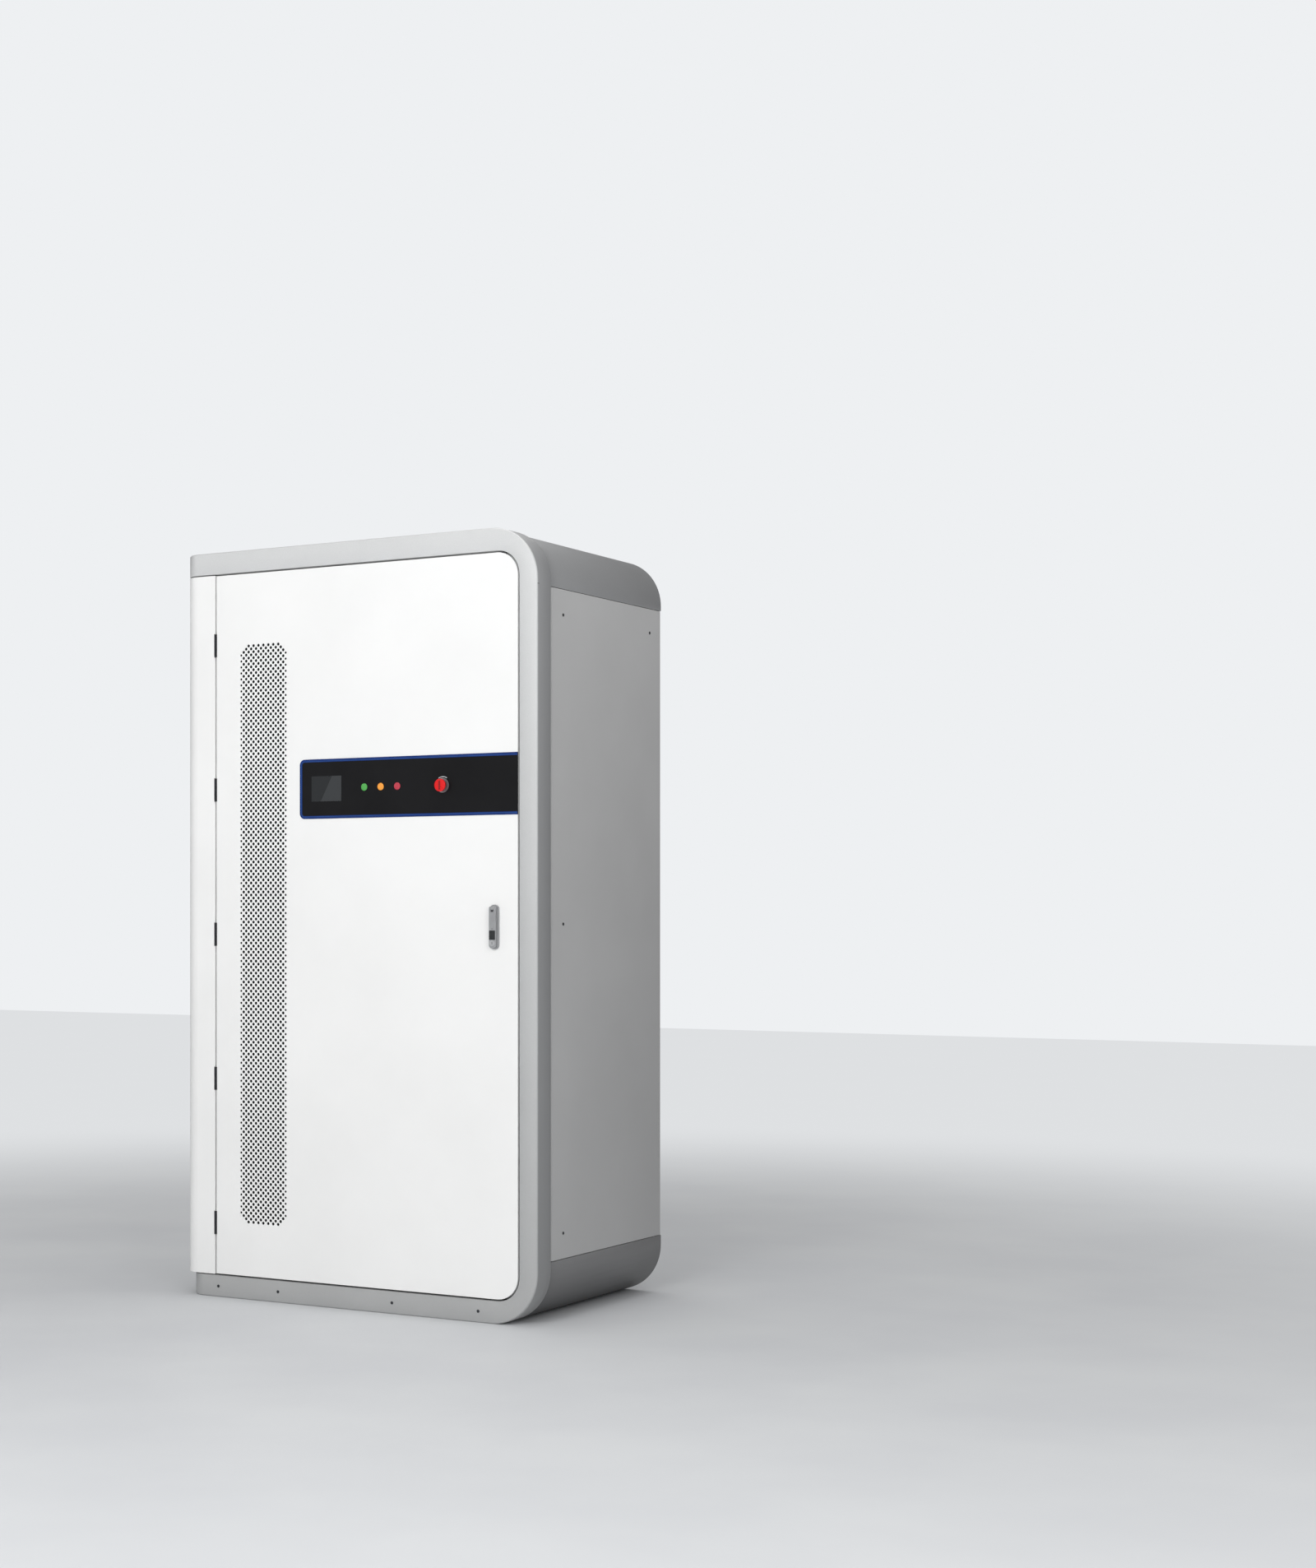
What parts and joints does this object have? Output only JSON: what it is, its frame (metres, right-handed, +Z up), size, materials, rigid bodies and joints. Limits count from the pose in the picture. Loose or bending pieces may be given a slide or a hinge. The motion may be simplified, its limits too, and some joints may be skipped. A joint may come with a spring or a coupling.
{
  "type": "battery storage cabinet",
  "caption": "Floor-standing battery storage cabinet: a rounded metal frame, hinged door with a perforated vent strip, display panel, stop button and swing handle, and stacked packs inside.",
  "frame": {"origin": "centre of the four floor anchor holes, on the floor", "axes": "+Z up, the door faces -Y, the right side panel is at +X"},
  "size_m": [1.1, 0.719, 2],
  "materials": {
    "silver_powder_coat": "satin powder coat",
    "white_powder_coat": "fine satin powder coat",
    "grey_powder_coat": "satin powder coat",
    "dark_powder_coat": "matt powder coat",
    "black_rubber": "matt",
    "zinc_plated_steel": "plated",
    "black_nylon": "matt moulded",
    "pack_enamel": "fine texture enamel",
    "orange_insulation": "moulded sleeve",
    "grey_filter_foam": "open-cell foam",
    "black_acrylic": "gloss with a slim blue border",
    "screen_glass": "gloss",
    "green_lens": "gloss lens",
    "amber_lens": "gloss lens",
    "red_lens": "gloss lens",
    "stop_red": "moulded",
    "collar_silver": "turned",
    "black_steel": "turned",
    "cast_zinc": "satin plated casting",
    "black_button": "matt moulded",
    "key_steel": "polished"
  },
  "bodies": {
    "cabinet": {"front_frame": "silver_powder_coat", "frame_spacer": "black_rubber", "left_wrap_panel": "white_powder_coat", "top_cover": "grey_powder_coat", "base_wrap": "dark_powder_coat", "base_frame": "dark_powder_coat", "floor_plate": "zinc_plated_steel", "cable_glands": "black_nylon", "right_side_panel": "grey_powder_coat", "rear_panel": "grey_powder_coat", "fan_housing": "dark_powder_coat", "fan_guard": "dark_powder_coat", "rack_frame": "dark_powder_coat", "pack_rails": "zinc_plated_steel", "battery_pack_1": "pack_enamel", "battery_pack_2": "pack_enamel", "battery_pack_3": "pack_enamel", "battery_pack_4": "pack_enamel", "battery_pack_5": "pack_enamel", "battery_pack_6": "pack_enamel", "battery_pack_7": "pack_enamel", "battery_pack_8": "pack_enamel", "pack_handles": "black_nylon", "pack_links": "orange_insulation", "power_converter": "pack_enamel", "control_box": "pack_enamel", "breaker_panel": "dark_powder_coat", "main_breaker": "black_nylon", "contactors": "black_nylon", "hinge_frame_leaves": "zinc_plated_steel", "panel_screws": "zinc_plated_steel"},
    "fan": {"fan_rotor": "black_nylon"},
    "toggle": {"breaker_toggle": "black_nylon"},
    "door": {"door_skin": "white_powder_coat", "vent_grille": "white_powder_coat", "filter_mat": "grey_filter_foam", "display_strip": "black_acrylic", "screen": "screen_glass", "lamp_green": "green_lens", "lamp_amber": "amber_lens", "lamp_red": "red_lens", "display_housing": "grey_powder_coat", "estop_collar": "collar_silver", "door_stiffeners": "zinc_plated_steel", "door_gasket": "black_rubber", "hinge_door_leaves": "zinc_plated_steel", "handle_base": "cast_zinc", "lock_gearbox": "zinc_plated_steel", "rod_guides": "zinc_plated_steel"},
    "handle": {"handle_hub": "cast_zinc"},
    "lever": {"lever": "cast_zinc", "lever_pin": "zinc_plated_steel"},
    "button": {"release_button": "black_button"},
    "key": {"key_cylinder": "key_steel"},
    "upper_rod": {"upper_rod": "zinc_plated_steel"},
    "lower_rod": {"lower_rod": "zinc_plated_steel"},
    "stop_stem": {"estop_stem": "black_steel"},
    "stop_head": {"estop_head": "stop_red"}
  },
  "joints": [
    {"name": "door_swing", "type": "hinge", "parent": "cabinet", "child": "door", "pos_m": [-0.44, -0.348, 1], "axis": [0, 0, -1], "range_deg": [0, 110]},
    {"name": "handle_turn", "type": "hinge", "parent": "door", "child": "handle", "pos_m": [0.4285, -0.35, 1.0435], "axis": [0, 1, 0], "range_deg": [0, 90]},
    {"name": "handle_lift", "type": "hinge", "parent": "handle", "child": "lever", "pos_m": [0.4285, -0.3613, 1.0435], "axis": [-1, 0, 0], "range_deg": [0, 25]},
    {"name": "key_turn", "type": "hinge", "parent": "lever", "child": "key", "pos_m": [0.4285, -0.3613, 0.9565], "axis": [0, -1, 0], "range_deg": [0, 90]},
    {"name": "button_press", "type": "slide", "parent": "lever", "child": "button", "axis": [0, 1, 0], "range_m": [0, 0.0025], "stiffness_N_per_m": 400, "springref_m": -0.002},
    {"name": "upper_rod_slide", "type": "slide", "parent": "door", "child": "upper_rod", "axis": [0, 0, -1], "range_m": [0, 0.0197]},
    {"name": "lower_rod_slide", "type": "slide", "parent": "door", "child": "lower_rod", "axis": [0, 0, 1], "range_m": [0, 0.0197]},
    {"name": "stop_press", "type": "slide", "parent": "door", "child": "stop_stem", "axis": [0, 1, 0], "range_m": [0, 0.0035], "stiffness_N_per_m": 1500, "springref_m": -0.004},
    {"name": "stop_twist", "type": "hinge", "parent": "stop_stem", "child": "stop_head", "pos_m": [0.2751, -0.363, 1.3565], "axis": [0, 1, 0], "range_deg": [0, 40], "stiffness_Nm_per_rad": 0.1, "springref_deg": -5.73},
    {"name": "fan_spin", "type": "hinge", "parent": "cabinet", "child": "fan", "pos_m": [-0.218, 0.3, 1.77], "axis": [0, 1, 0], "continuous": true},
    {"name": "toggle_throw", "type": "hinge", "parent": "cabinet", "child": "toggle", "pos_m": [0.266, -0.196, 1.622], "axis": [1, 0, 0], "range_deg": [-25, 25]}
  ],
  "couplings": [
    {"joint": "upper_rod_slide", "follows": "handle_turn", "m_per_rad": 0.0125},
    {"joint": "lower_rod_slide", "follows": "handle_turn", "m_per_rad": 0.0125}
  ]
}
